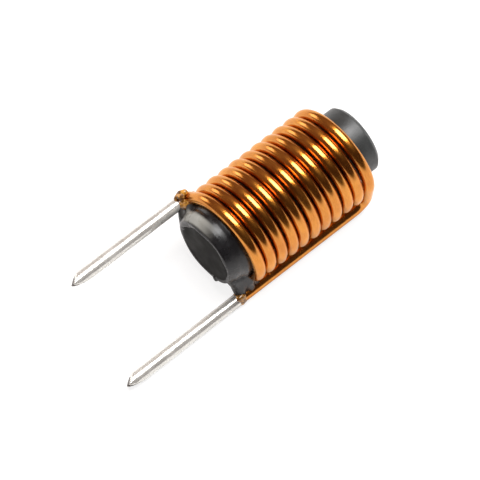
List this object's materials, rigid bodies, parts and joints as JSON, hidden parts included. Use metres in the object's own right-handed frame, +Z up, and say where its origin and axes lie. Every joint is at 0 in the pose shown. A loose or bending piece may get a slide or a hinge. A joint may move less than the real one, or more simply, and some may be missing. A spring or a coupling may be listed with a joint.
{
  "type": "rod core inductor",
  "caption": "Rod core inductor: an open coil of thick enamelled copper wire on a ferrite rod, with two tinned leads at one end held by black adhesive.",
  "frame": {"origin": "centre of the part's box on the surface that it lies on", "axes": "+X along the rod from the lead end to the far end, +Y across towards the start lead, +Z up from the surface that the coil and the return lead rest on"},
  "size_m": [0.027, 0.0094, 0.0089],
  "materials": {
    "ferrite": "sintered, matte to satin dark grey",
    "enamelled_copper": "glossy amber enamel over copper",
    "solder_tin": "bright dipped solder",
    "burnt_residue": "lumpy golden-brown burnt enamel and flux",
    "black_epoxy": "glossy black cured adhesive"
  },
  "bodies": {
    "root": {"ferrite_rod": "ferrite", "winding": "enamelled_copper", "start_lead_tin": "solder_tin", "return_lead_tin": "solder_tin", "start_lead_residue": "burnt_residue", "return_lead_residue": "burnt_residue", "end_adhesive": "black_epoxy"}
  },
  "joints": []
}
